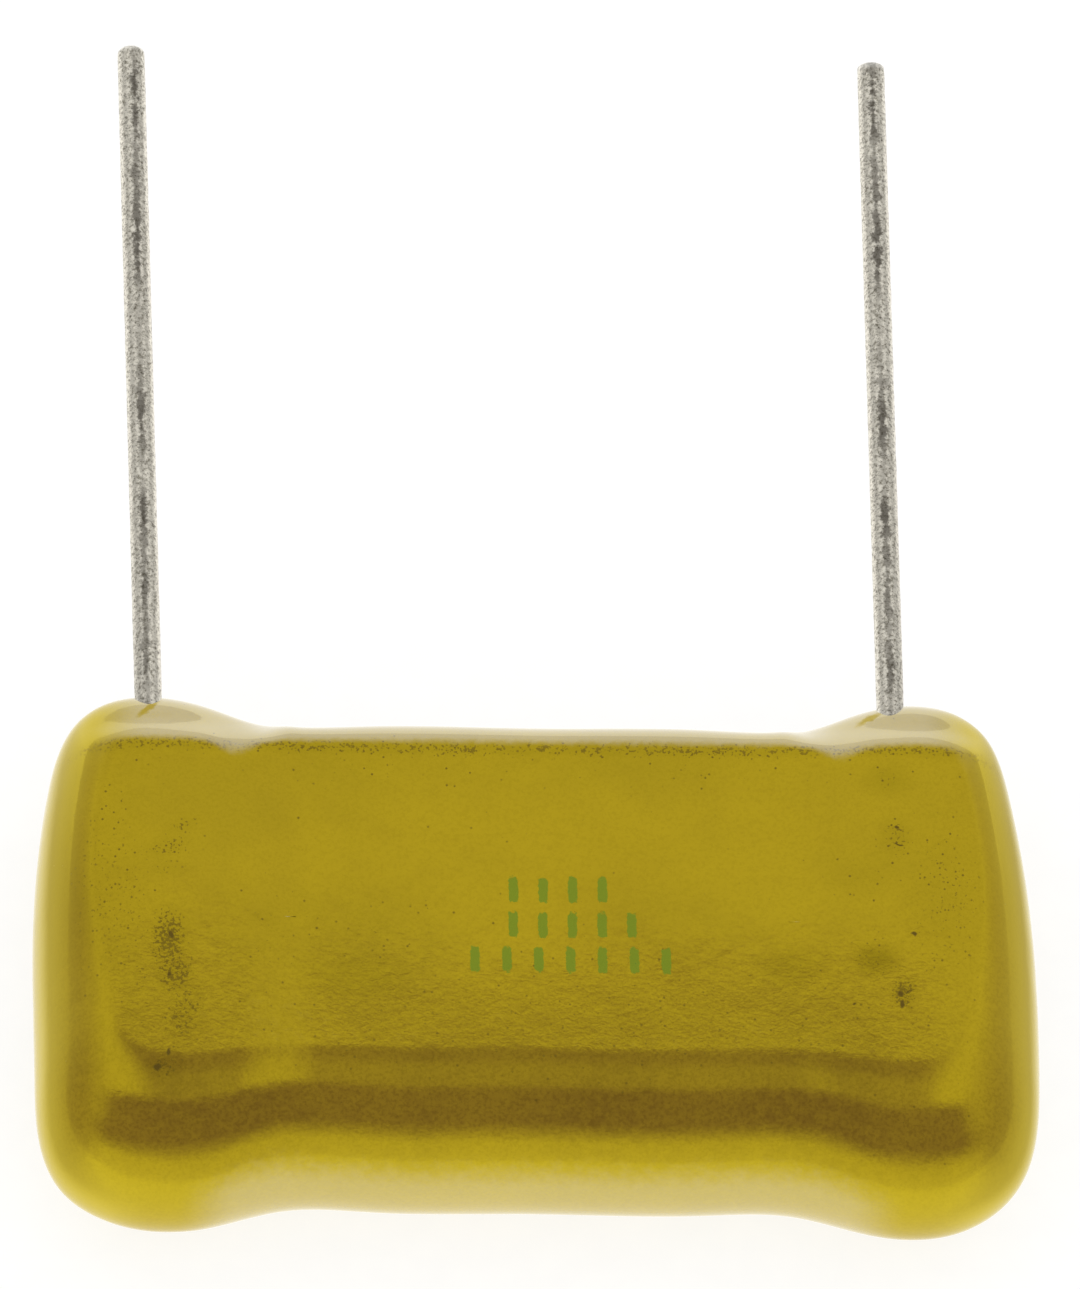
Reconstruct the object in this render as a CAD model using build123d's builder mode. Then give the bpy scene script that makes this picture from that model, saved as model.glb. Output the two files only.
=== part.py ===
from build123d import *
import os
from math import cos, pi, radians, sin

# Large dipped silvered-mica capacitor with two radial wire leads, built piece by piece: mica
# blades with foils between them, the foils' tabs folded over at alternate ends, a clamp round
# each end, a wire lead along each clamp and one dipped resin coat over it all.
#
# Millimetres. X runs from the left lead to the right lead, +Y from the body out along both leads,
# +Z up out of the broad face. The body lies on its flat underside at Z = 0, with the origin midway
# between the leads and at mid height of the body's waist.

os.makedirs("parts", exist_ok=True)

# ---- leads ----
lead_pitch = 27.0            # centre to centre
wire_diameter = 1.02
left_reach = 26.55           # from the coat's lead-side crest to the tip: the two were cut a little unlike
right_reach = 26.15
left_tip_rounding = 0.22     # the left tip is dressed round, the right one only deburred
right_tip_chamfer = 0.07
root_depth = 0.25            # the wire has its full gauge down to this far below the coat's lead-side crest
neck_loss = 0.02             # further in, its radius shrinks by this much where the swaging drew it thinner
paddle_thickness = 0.55      # the wire's inner end is swaged flat
paddle_past_clamp = 0.2      # full paddle reaches this far past the clamp's flat, towards the root
paddle_short = 0.65          # and stops this far short of the other end of that flat
paddle_taper = 1.5           # from the full paddle to the thinner round neck, all of it inside the coat

# ---- mica and foil stack ----
blade_count = 9              # silvered blades between the two plain cover blades
blade_width = 14.0
blade_thickness = 0.24
cover_thickness = 0.26
foil_thickness = 0.1
foil_width = 12.0
foil_margin = 2.4            # how far each foil stops short of the other end of the blades
foil_bend = 0.08             # inside radius of the innermost tab, which begins to bend at the blades' ends
tab_setback = 0.06           # from the outermost tab to the clamp's outer edge
tab_inset = 0.2              # from the ends of the folded tabs to the clamp's inner edge

# ---- clamps ----
clamp_width = 4.2
clamp_thickness = 0.35
clamp_clearance = 0.05       # past each long edge of the blades before the strap turns round
clamp_seam = 0.6             # gap where the two ends of the strap meet underneath
clamp_inset = 0.4            # clamp centre, inwards of the lead centre

# ---- coat ----
coat_under_clamp = 1.55
coat_over_wire = 0.95
coat_beside_blades = 2.4     # makes the waist, between the clamps
coat_low_crest = 0.75        # over the clamps' edges on the side away from the leads
coat_high_crest = 1.15       # and on the lead side
coat_past_tabs = 3.2
coat_shift = 0.5             # the dipped coat hangs a little to the right of the leads
hump_run = 1.5               # the waist begins to swell this far inside the clamp's inner edge
low_rounding = 4.0           # from the flat face out to the widest line, away from the leads
high_rounding = 2.25         # on the lead side at the waist
hump_rounding = 3.45         # on the lead side over the clamps
low_corner = (0.9, 1.6)      # how far a rounded corner stays inside the end and the crest
low_corner_rounding = (2.3, 3.8)
high_corner = (1.75, 0.95)
high_corner_rounding = (1.5, 2.8)
low_end_y = -4.4             # the end is longest here
low_end_rounding = (2.75, 1.8)
high_end_y = 7.2             # and leans in by the taper up to here
high_end_rounding = (1.85, 2.4)
end_taper = 0.8
left_fullness = 0.12         # the left end's corners stand this much further out, along X and along Y
waist_hold = 0.65            # on the lead side the waist stays straight over this share of its length
rounding_steps = 6           # cross sections through the thickness, less one

# ---- worked out from the sizes above ----
lead_x = lead_pitch / 2
clamp_x = lead_x - clamp_inset
clamp_inner_x = clamp_x - clamp_width / 2
clamp_outer_x = clamp_x + clamp_width / 2

foil_count = blade_count + 1
tab_pile = (foil_count + 1) // 2 * foil_thickness
tab_outer_x = clamp_outer_x - tab_setback
tab_end_x = clamp_inner_x + tab_inset
blade_length = 2 * (tab_outer_x - tab_pile - foil_bend)

layer = blade_thickness + foil_thickness
stack_thickness = 2 * cover_thickness + blade_count * layer + foil_thickness
clamp_inner_height = stack_thickness + tab_pile
clamp_outer_height = clamp_inner_height + 2 * clamp_thickness
clamp_flat = blade_width + 2 * clamp_clearance
clamp_reach_y = (clamp_flat + clamp_outer_height) / 2

stack_bottom = coat_under_clamp + clamp_thickness
stack_top = stack_bottom + stack_thickness
clamp_top = coat_under_clamp + clamp_outer_height
wire_z = clamp_top + wire_diameter / 2

# the paddle is a slot with the same area of metal as the round wire
paddle_width = (pi * wire_diameter**2 / 4) / paddle_thickness + (1 - pi / 4) * paddle_thickness
paddle_z = clamp_top + paddle_thickness / 2
paddle_from_y = clamp_flat / 2 + paddle_past_clamp
paddle_foot_y = paddle_short - clamp_flat / 2
neck_y = paddle_from_y + paddle_taper

coat_thickness = clamp_top + wire_diameter + coat_over_wire
waist_y = blade_width / 2 + coat_beside_blades
low_crest_y = clamp_reach_y + coat_low_crest
high_crest_y = clamp_reach_y + coat_high_crest
full_gauge_y = high_crest_y - root_depth
waist_x = clamp_inner_x - hump_run
coat_end_x = tab_outer_x + coat_past_tabs



def half_outline(side, fullness, narrowing):
    # One half of the coat's outline, from the middle of the far edge round to the middle of the
    # lead-side edge. Each row is a point at half thickness, where the coat is widest, and how far
    # the flat face stops short of it in X and in Y. narrowing is 0 at half thickness, 1 at a face.
    rows = [
        (0, -waist_y, 0, low_rounding),
        (waist_x, -waist_y, 0, low_rounding),
        (clamp_x, -low_crest_y, 0, low_rounding),
        (clamp_outer_x, -low_crest_y, low_corner[0], low_rounding),
        (coat_end_x - low_corner[0] + fullness, low_corner[1] - low_crest_y - fullness,
         *low_corner_rounding),
        (coat_end_x, low_end_y, *low_end_rounding),
        (coat_end_x - end_taper, high_end_y, high_end_rounding[0], -high_end_rounding[1]),
        (coat_end_x - high_corner[0] + fullness, high_crest_y - high_corner[1] + fullness,
         high_corner_rounding[0], -high_corner_rounding[1]),
        (clamp_x, high_crest_y, 0, -hump_rounding),
        (waist_x, waist_y, 0, -high_rounding),
        (waist_hold * waist_x, waist_y, 0, -high_rounding),
        (0, waist_y, 0, -high_rounding),
    ]
    Spline(
        *[(side * (x - narrowing * dx), y + narrowing * dy) for x, y, dx, dy in rows],
        tangents=[(side, 0), (-side, 0)],
    )


def finish(block, name):
    # labels a finished piece and writes its STEP file
    block.part.label = name
    export_step(block.part, f"parts/{name}.step")


def blade(name, bottom, thickness):
    # one rectangular mica blade lying flat at the given height
    with BuildPart() as mica:
        with BuildSketch(Plane.XY.offset(bottom)):
            Rectangle(blade_length, blade_width)
        extrude(amount=thickness)
    finish(mica, name)


def foil(name, level, side, nesting):
    # A foil that runs between two blades, up their end and back over the top cover. side is -1 for
    # the left end and 1 for the right. nesting counts outwards from the innermost tab.
    half = foil_thickness / 2
    bend = foil_bend + half
    riser_x = side * (blade_length / 2 + bend + nesting * foil_thickness)
    tab_z = stack_top + half + nesting * foil_thickness
    far_x = -side * (blade_length / 2 - foil_margin)
    with BuildPart() as strip:
        with BuildSketch(Plane.XZ):
            with BuildLine():
                FilletPolyline(
                    (far_x, level + half), (riser_x, level + half), (riser_x, tab_z),
                    (side * tab_end_x, tab_z),
                    radius=[bend, bend + nesting * foil_thickness],
                )
            trace(line_width=foil_thickness)
        extrude(amount=foil_width / 2, both=True)
    finish(strip, name)


def clamp(name, side):
    # a strap bent round the stack into a flat-sided loop, its two ends meeting underneath
    with BuildPart() as strap:
        with BuildSketch(Plane.YZ.offset(side * clamp_x)):
            with Locations((0, coat_under_clamp + clamp_outer_height / 2)):
                SlotCenterToCenter(clamp_flat, clamp_outer_height)
                SlotCenterToCenter(clamp_flat, clamp_inner_height, mode=Mode.SUBTRACT)
            with Locations((0, coat_under_clamp + clamp_thickness / 2)):
                Rectangle(clamp_seam, 2 * clamp_thickness, mode=Mode.SUBTRACT)
        extrude(amount=clamp_width / 2, both=True)
    finish(strap, name)
    return strap.part


def across(x, y, z):
    # a plane square to a lead, with its own x along X and its normal along +Y
    return Plane((x, y, z), x_dir=(1, 0, 0), z_dir=(0, 1, 0))


def lead(name, side, reach):
    # a round tinned wire whose inner end is drawn a little thinner and then swaged into a flat paddle
    # that lies along the clamp
    x = side * lead_x
    with BuildPart() as wire:
        with BuildSketch(across(x, full_gauge_y, wire_z)):
            Circle(wire_diameter / 2)
        extrude(amount=reach + root_depth)
        tip = wire.edges().group_by(Axis.Y)[-1]
        if side < 0:
            fillet(tip, left_tip_rounding)
        else:
            chamfer(tip, right_tip_chamfer)
        with BuildSketch(across(x, full_gauge_y, wire_z)):
            Circle(wire_diameter / 2)
        with BuildSketch(across(x, neck_y, wire_z)):
            Circle(wire_diameter / 2 - neck_loss)
        loft()
        with BuildSketch(across(x, neck_y, wire_z)):
            Circle(wire_diameter / 2 - neck_loss)
        with BuildSketch(across(x, paddle_from_y, paddle_z)):
            SlotOverall(paddle_width, paddle_thickness)
        loft()
        with BuildSketch(across(x, paddle_foot_y, paddle_z)):
            SlotOverall(paddle_width, paddle_thickness)
        extrude(amount=paddle_from_y - paddle_foot_y)
    finish(wire, name)
    return wire.part


# ---- clamps and leads ----
left_clamp = clamp("left_clamp", -1)
right_clamp = clamp("right_clamp", 1)
left_lead = lead("left_lead", -1, left_reach)
right_lead = lead("right_lead", 1, right_reach)

# ---- stack: cover, foil, blade, foil ... blade, foil, cover ----
first_foil_z = stack_bottom + cover_thickness
blade("cover_mica_bottom", stack_bottom, cover_thickness)
for i in range(blade_count):
    blade(f"mica_blade_{i + 1:02d}", first_foil_z + foil_thickness + i * layer, blade_thickness)
blade("cover_mica_top", stack_top - cover_thickness, cover_thickness)
for i in range(foil_count):
    end = -1 if i % 2 == 0 else 1
    foil(f"foil_{i + 1:02d}", first_foil_z + i * layer, end, (foil_count - 1 - i) // 2)

# ---- coat ----
with BuildPart() as dipped_coating:
    # each section through the thickness is an outline that widens as the cosine of an arc's angle
    # while its height follows the sine, so every edge rounds over like an ellipse
    for step in range(rounding_steps + 1):
        angle = radians(180 * step / rounding_steps - 90)
        with BuildSketch(Plane((coat_shift, 0, coat_thickness / 2 * (1 + sin(angle))))):
            with BuildLine():
                half_outline(1, 0, 1 - cos(angle))
                half_outline(-1, left_fullness, 1 - cos(angle))
            make_face()
    loft()

    # the resin closes on the stack, the tabs, the clamps and the leads
    with BuildSketch(Plane.XY.offset(stack_bottom)):
        Rectangle(blade_length, blade_width)
    extrude(amount=stack_thickness, mode=Mode.SUBTRACT)
    riser_x = (blade_length / 2 + tab_outer_x) / 2
    tabs_x = (tab_end_x + tab_outer_x) / 2
    with BuildSketch(Plane.XY.offset(first_foil_z)):
        with Locations((-riser_x, 0), (riser_x, 0)):
            Rectangle(tab_outer_x - blade_length / 2, foil_width)
    extrude(amount=stack_top - first_foil_z, mode=Mode.SUBTRACT)
    with BuildSketch(Plane.XY.offset(stack_top)):
        with Locations((-tabs_x, 0), (tabs_x, 0)):
            Rectangle(tab_outer_x - tab_end_x, foil_width)
    extrude(amount=tab_pile, mode=Mode.SUBTRACT)
    add([left_clamp, right_clamp, left_lead, right_lead], mode=Mode.SUBTRACT)
finish(dipped_coating, "dipped_coating")
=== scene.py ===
from math import cos, pi, radians, sin, tau

import bpy
import numpy as np
from mathutils import Matrix, Vector


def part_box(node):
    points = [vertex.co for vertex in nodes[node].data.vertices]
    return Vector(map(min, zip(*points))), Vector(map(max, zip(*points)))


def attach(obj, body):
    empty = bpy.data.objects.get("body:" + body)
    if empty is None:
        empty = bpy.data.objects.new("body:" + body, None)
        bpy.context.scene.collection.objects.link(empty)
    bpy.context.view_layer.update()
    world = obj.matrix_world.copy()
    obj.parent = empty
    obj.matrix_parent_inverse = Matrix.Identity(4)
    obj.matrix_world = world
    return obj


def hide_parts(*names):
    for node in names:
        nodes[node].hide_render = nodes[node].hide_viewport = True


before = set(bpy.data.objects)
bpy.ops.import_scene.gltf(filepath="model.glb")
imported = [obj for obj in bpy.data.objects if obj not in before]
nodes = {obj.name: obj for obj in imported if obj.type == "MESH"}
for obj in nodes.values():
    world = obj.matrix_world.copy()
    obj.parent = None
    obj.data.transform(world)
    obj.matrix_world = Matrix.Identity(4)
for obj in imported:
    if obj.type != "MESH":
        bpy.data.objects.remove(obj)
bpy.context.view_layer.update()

metre = 0.001        # shapes are worked out in millimetres and written in metres
print("frame loaded:", len(nodes), "pieces")


def smoothStep(value):        # 0 below 0, 1 above 1, and 3t2 - 2t3 between
    held = np.clip(value, 0.0, 1.0)
    return held * held * (3.0 - 2.0 * held)


def ripple(points, wavelength, seed, waves=28):
    # a sum of plane waves of about one wavelength, with random directions and phases, about -1 to 1
    random = np.random.default_rng(seed)
    direction = random.normal(size=(waves, 3))
    direction /= np.linalg.norm(direction, axis=1)[:, None]
    number = tau / wavelength * random.uniform(0.7, 1.5, waves)
    phase = random.uniform(0.0, tau, waves)
    swing = np.sin(points @ (direction * number[:, None]).T + phase)
    return swing.sum(axis=-1) / np.sqrt(2.0 * waves)


def gridNormals(grid):
    # cross product of the differences along the rows and around the ring, pointing outwards
    around = np.roll(grid, -1, axis=1) - np.roll(grid, 1, axis=1)
    along = np.gradient(grid, axis=0)
    normal = np.cross(along, around)
    return normal / np.maximum(np.linalg.norm(normal, axis=2), 1e-9)[..., None]


def closedMesh(name, grid, firstRow, lastRow):
    # grid is (rows, around, 3); firstRow and lastRow say how the end rows close:
    # "fold" lays the two halves of the ring on each other, "point" makes the ring one point
    rows, around = grid.shape[:2]
    ring = np.arange(around)
    share = {"fold": np.minimum(ring, around - ring), "point": np.zeros(around, int)}
    count = {"fold": around // 2 + 1, "point": 1}
    index = np.empty((rows, around), int)
    index[0] = share[firstRow]
    index[1:-1] = count[firstRow] + np.arange((rows - 2) * around).reshape(rows - 2, around)
    index[-1] = count[firstRow] + (rows - 2) * around + share[lastRow]
    points = np.empty((index.max() + 1, 3))
    points[index.ravel()] = grid.reshape(-1, 3)
    after = np.roll(index, -1, axis=1)
    quads = np.stack([index[:-1], index[1:], after[1:], after[:-1]], axis=-1).reshape(-1, 4)
    same = quads == np.roll(quads, -1, axis=1)        # two equal corners make a triangle
    corners = [quad[~double] for quad, double in zip(quads[same.any(1)], same[same.any(1)])]
    loops = np.concatenate([quads[~same.any(1)].ravel(), *corners]) if corners else quads.ravel()
    sizes = np.full(len(quads), 4)
    sizes[len(quads) - len(corners):] = 3 if corners else 4
    mesh = bpy.data.meshes.new(name)
    mesh.vertices.add(len(points))
    mesh.vertices.foreach_set("co", (points * metre).ravel())
    mesh.loops.add(len(loops))
    mesh.loops.foreach_set("vertex_index", loops)
    mesh.polygons.add(len(sizes))
    mesh.polygons.foreach_set("loop_start", np.concatenate([[0], np.cumsum(sizes)[:-1]]))
    mesh.polygons.foreach_set("use_smooth", np.ones(len(sizes), bool))
    mesh.update(calc_edges=True)
    mesh.validate()
    piece = bpy.data.objects.new(name, mesh)
    bpy.context.scene.collection.objects.link(piece)
    return piece


def newMaterial(name):
    made = bpy.data.materials.new(name)
    made.use_nodes = True
    return made, made.node_tree, made.node_tree.nodes["Principled BSDF"]


def add(tree, kind, inputs=None, **settings):
    # one shader node; an input is either a plain value or another node's output
    made = tree.nodes.new("ShaderNode" + kind)
    for name, value in settings.items():
        setattr(made, name, value)
    for name, value in (inputs or {}).items():
        if isinstance(value, bpy.types.NodeSocket):
            tree.links.new(value, made.inputs[name])
        else:
            made.inputs[name].default_value = value
    return made


def place(tree, stretch=(1.0, 1.0, 1.0), turn=0.0):
    # the object's own coordinates in millimetres, stretched and turned about Z
    values = {
        "Vector": add(tree, "TexCoord").outputs["Object"],
        "Scale": [side / metre for side in stretch],
        "Rotation": (0.0, 0.0, turn),
    }
    return add(tree, "Mapping", values).outputs[0]


def noise(tree, vector, scale, detail=3.0, roughness=0.55, distortion=0.0):
    values = {"Vector": vector, "Scale": scale, "Detail": detail, "Roughness": roughness,
              "Distortion": distortion}
    return add(tree, "TexNoise", values).outputs["Fac"]


def ease(tree, value, low, high, toLow=0.0, toHigh=1.0):
    values = {0: value, 1: low, 2: high, 3: toLow, 4: toHigh}
    return add(tree, "MapRange", values, interpolation_type="SMOOTHSTEP").outputs[0]


def patches(tree, vector, pattern, toLow=0.0, toHigh=1.0):
    # pattern: how many patches of noise per millimetre, their detail, their roughness, and the two
    # values of the noise between which they rise
    scale, detail, roughness, low, high = pattern
    return ease(tree, noise(tree, vector, scale, detail, roughness), low, high, toLow, toHigh)


def calc(tree, operation, first, second=0.0):
    return add(tree, "Math", {0: first, 1: second}, operation=operation).outputs[0]


def times(tree, first, second):
    return calc(tree, "MULTIPLY", first, second)


def plus(tree, first, second):
    return calc(tree, "ADD", first, second)


def minus(tree, first, second):
    return calc(tree, "SUBTRACT", first, second)


def apart(tree, first, second):
    # how far two values are from each other
    return calc(tree, "ABSOLUTE", minus(tree, first, second))


def between(tree, share, first, second):
    # the first value where share is 0, the second where it is 1
    return plus(tree, times(tree, second, share), times(tree, first, minus(tree, 1.0, share)))


def greatest(tree, values):
    total = values[0]
    for value in values[1:]:
        total = calc(tree, "MAXIMUM", total, value)
    return total


def tint(tree, factor, first, second):
    return add(tree, "Mix", {0: factor, 6: first, 7: second}, data_type="RGBA").outputs[2]


def grey(tree, level):
    return add(tree, "CombineColor", {0: level, 1: level, 2: level}).outputs[0]


def bump(tree, height, depth):
    # depth is how far a height of one stands out, in millimetres
    return add(tree, "Bump", {"Height": height, "Strength": 1.0, "Distance": depth * metre}).outputs[0]


def paint(piece, made):
    piece.data.materials.clear()
    piece.data.materials.append(made)


view = {
    "azimuth": -7.4,        # degrees, from behind the -Y side
    "elevation": 60.0,
    "roll": 7.05,
    "distance": 1.6,        # metres, from the point aimed at
    "frameHeight": 0.04687,        # of what the frame takes in at that point
    "aimRight": -0.00081,        # middle of the frame, from the origin
    "aimUp": 0.01406,
    "aimBack": 0.004,
    "sensor": 36.0,
    "clip": (0.1, 10.0),
}


def makeCamera():
    azimuth, elevation, roll = (radians(view[name]) for name in ("azimuth", "elevation", "roll"))
    back = Vector((sin(azimuth) * cos(elevation), -cos(azimuth) * cos(elevation), sin(elevation)))
    levelRight = Vector((cos(azimuth), sin(azimuth), 0.0))
    levelUp = back.cross(levelRight)
    right = levelRight * cos(roll) + levelUp * sin(roll)
    up = levelUp * cos(roll) - levelRight * sin(roll)
    data = bpy.data.cameras.new("camera")
    data.sensor_width = view["sensor"]
    data.lens = view["sensor"] * view["distance"] / view["frameHeight"]
    data.clip_start, data.clip_end = view["clip"]
    camera = bpy.data.objects.new("camera", data)
    bpy.context.scene.collection.objects.link(camera)
    away = view["aimBack"] + view["distance"]
    stand = levelRight * view["aimRight"] + levelUp * view["aimUp"] + back * away
    turned = Matrix((right, up, back)).transposed().to_4x4()
    camera.matrix_world = Matrix.Translation(stand) @ turned
    bpy.context.scene.camera = camera


makeCamera()
bpy.context.scene.view_settings.view_transform = "Standard"
print("camera set")


studio = {
    "plain": 0.8,        # the even light all round that lights the object
    "floorSides": 96,
    "floorRadius": 3.0,        # metres
    "floorDrop": 0.00003,        # below the part, so that the two faces don't share a plane
    "floorColour": 0.3,
    "floorUneven": 0.01,        # how much the paper's grain changes that
    "floorGrain": (0.8, 4.0, 0.55, 0.3, 0.7),
    # glow of the floor seen directly, then as the gloss shows it before and behind the part, close beside
    # it and far beside it
    "floorGlow": (0.80, 1.0, 0.95, 0.25),
    "beside": (0.70, 0.95),        # what counts as beside, by the sine of the bearing from +Y or -Y
    "far": (0.0205, 0.0265),        # where close passes into far, in metres from the origin
    # brightness of the tent that the gloss shows along the fore and aft arc, by degrees from straight
    # up towards +Y
    "arc": [(-90, 1.0), (-70, 1.0), (-58, 0.35), (-50, 0.03), (-18, 0.03), (-12, 0.35), (4, 0.38),
            (9, 0.30), (14, 0.18), (24.0, 0.16), (26.2, 0.50), (27.5, 0.93), (30, 1.0), (90, 1.0)],
    # brightness away from that arc, by how far the direction leans to either side
    "side": [(0.0, 0.9), (0.25, 0.9), (0.5, 0.95), (0.75, 0.60), (0.9, 0.35), (1.0, 0.25)],
    "openingEdge": (0.48, 0.80),        # where the dark opening fades into the side, by the same lean
    # where the opening is wider, in degrees, and by how much: fully at the first, not at all at the second
    "openingSlant": (-52, -18, 0.12),
    "behindEdge": (0.08, 0.32),        # where what lies behind the opening fades into the side
    "aft": (-13, -8),        # the degrees between which the one edge gives way to the other
}


def levels(tree, value, stops):
    # a value looked up in a list of (value, brightness), with straight lines between them
    low, high = stops[0][0], stops[-1][0]
    along = add(tree, "MapRange", {0: value, 1: low, 2: high}).outputs[0]
    made = add(tree, "FloatCurve", {1: along})
    curve = made.mapping.curves[0]
    made.mapping.use_clip = False
    for number, (at, level) in enumerate(stops):
        location = ((at - low) / (high - low), level)
        if number < 2:        # a new curve has two points already
            curve.points[number].location = location
            curve.points[number].handle_type = "VECTOR"
        else:
            curve.points.new(*location).handle_type = "VECTOR"
    made.mapping.update()
    return made.outputs[0]


def makeWorld():
    # even light on the object; its gloss shows a white tent instead, which has a dark opening overhead on
    # the -Y side and a dim stretch behind that, and the camera sees plain white
    world = bpy.data.worlds.new("tent")
    bpy.context.scene.world = world
    world.use_nodes = True
    tree = world.node_tree
    tree.nodes.clear()
    direction = add(tree, "TexCoord").outputs["Generated"]
    split = add(tree, "SeparateXYZ", {0: direction})
    angle = calc(tree, "ARCTAN2", split.outputs["Y"], split.outputs["Z"])
    degrees = times(tree, angle, 180 / pi)
    lean = calc(tree, "ABSOLUTE", split.outputs["X"])
    arc = levels(tree, degrees, studio["arc"])
    aside = levels(tree, lean, studio["side"])
    aft = ease(tree, degrees, *studio["aft"])
    fore, hind, wider = studio["openingSlant"]
    narrowed = minus(tree, lean, ease(tree, degrees, fore, hind, wider, 0.0))
    outOfOpening = ease(tree, narrowed, *studio["openingEdge"])
    outOfBehind = ease(tree, lean, *studio["behindEdge"])
    outside = between(tree, aft, outOfOpening, outOfBehind)
    tent = grey(tree, between(tree, outside, arc, aside))
    ray = add(tree, "LightPath")
    light = tint(tree, ray.outputs["Is Glossy Ray"], (*[studio["plain"]] * 3, 1.0), tent)
    light = tint(tree, ray.outputs["Is Camera Ray"], light, (1.0, 1.0, 1.0, 1.0))
    background = add(tree, "Background", {0: light, 1: 1.0})
    output = tree.nodes.new("ShaderNodeOutputWorld")
    tree.links.new(background.outputs[0], output.inputs[0])


def makeFloor():
    # a flat disc of white paper, partly self-lit so that it comes out white round a soft shadow; the
    # gloss shows it getting darker away from the part on both sides
    sides = studio["floorSides"]
    around = np.linspace(0.0, tau, sides + 1)[:-1]
    rim = np.stack([np.cos(around), np.sin(around), np.zeros(sides)], axis=1) * studio["floorRadius"]
    rim[:, 2] = -studio["floorDrop"]
    mesh = bpy.data.meshes.new("floor")
    mesh.from_pydata(rim.tolist(), [], [list(range(sides))])
    floor = bpy.data.objects.new("floor", mesh)
    bpy.context.scene.collection.objects.link(floor)
    made, tree, shader = newMaterial("whitePaper")
    colour, uneven = studio["floorColour"], studio["floorUneven"]
    level = patches(tree, place(tree), studio["floorGrain"], colour - uneven, colour + uneven)
    tree.links.new(grey(tree, level), shader.inputs["Base Color"])
    shader.inputs["Roughness"].default_value = 1.0
    shader.inputs["Specular IOR Level"].default_value = 0.0
    shader.inputs["Emission Color"].default_value = (1.0, 1.0, 1.0, 1.0)
    direct, before, close, distant = studio["floorGlow"]
    where = add(tree, "TexCoord").outputs["Object"]
    radius = add(tree, "VectorMath", {0: where}, operation="LENGTH").outputs["Value"]
    aside = calc(tree, "ABSOLUTE", add(tree, "SeparateXYZ", {0: where}).outputs["X"])
    shown = ease(tree, radius, *studio["far"], close, distant)
    share = ease(tree, calc(tree, "DIVIDE", aside, radius), *studio["beside"])
    shown = between(tree, share, before, shown)
    mirrored = add(tree, "LightPath").outputs["Is Glossy Ray"]
    glow = ease(tree, mirrored, 0.0, 1.0, direct, shown)
    tree.links.new(glow, shader.inputs["Emission Strength"])
    paint(floor, made)


makeWorld()
makeFloor()
print("light and floor made")


coatBox = [np.array(corner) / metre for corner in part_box("dipped_coating")]
clampBox = [np.array(corner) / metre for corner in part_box("right_clamp")]

coat = {
    "stepsAround": 720,
    "stepsFace": 40,
    "stepsRim": 48,
    "stepsUnder": 14,
    "faceSpacing": 0.9,        # under 1 the face's rings lie closer together towards the rim
    "seam": 0.25,        # where the rings begin, as a share of the outline from the middle of the low side
    "spine": 9.0,        # half length of the line where the two halves of a face meet
    "shrink": 0.996,        # keeps the skin just inside the solid's box
    "centreX": 0.5,
    # how far the smooth outline passes its points: at the ends, on the low side and on the lead side
    "bulge": (0.018, 0.18, 0.097),
    "waistY": 9.4,
    "waistX": 9.5,
    "waistHold": 0.65,        # the waist stays straight over this share of its length
    "lowWaist": (9.2, 11.9),        # on the low side the skin turns from waist to pad between these X
    # how far the flat face stops short of the widest line: on the low side at the waist and at the pads,
    # and on the lead side at the waist and at the pads
    "lowRounding": 4.1,
    "lowPadRounding": 4.55,
    "highRounding": 2.25,
    "humpRounding": 3.45,
    # how far a corner stays inside the end and the crest, and how far the flat face stops short there
    "lowCorner": (0.9, 1.6),
    "lowCornerRounding": (2.3, 3.8),
    "highCorner": (1.75, 0.95),
    "highCornerRounding": (1.5, 2.8),
    # the end is longest at the low Y and leans in by the taper up to the high one
    "lowEndY": -4.4,
    "lowEndRounding": (2.75, 1.8),
    "highEndY": 7.2,
    "highEndRounding": (1.85, 2.4),
    "endTaper": 0.8,
    "leftFullness": 0.12,        # how much further out the left corners stand
    "leftEndShares": (0.5, 1.8),        # and the left end's low and high point, as a share of that
    "padSlopeIn": (11.2, 8.2),        # from the strap's pad down to the waist, by distance from the middle
    "padSlopeOut": (13.6, 17.4),
    "waistDrop": 0.18,
    "endDrop": 0.20,
    "crown": 0.0011,        # fall per square millimetre towards the low side
    "crownFrom": 4.0,
    # the pads' lead-side shoulders: the face breaks off at the first Y, falls most by the second and is
    # back on the rounding at the third; where along X they begin and end; depth
    "shoulder": ((7.2, 8.5, 10.1), (8.9, 10.1), (15.6, 17.0), 0.34),
    # the notch where a shoulder meets the waist: X, half width, how much sooner it breaks off, how much
    # deeper it is
    "notch": (11.05, 0.85, 0.75, 0.16),
    "wave": ((9.0, 0.012), (2.5, 0.002)),        # wavelength and height of the skin's unevenness
    "waveSeed": 7,
    "waveFrom": 1.5,        # the height at which it is full; the underside has none
}


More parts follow.
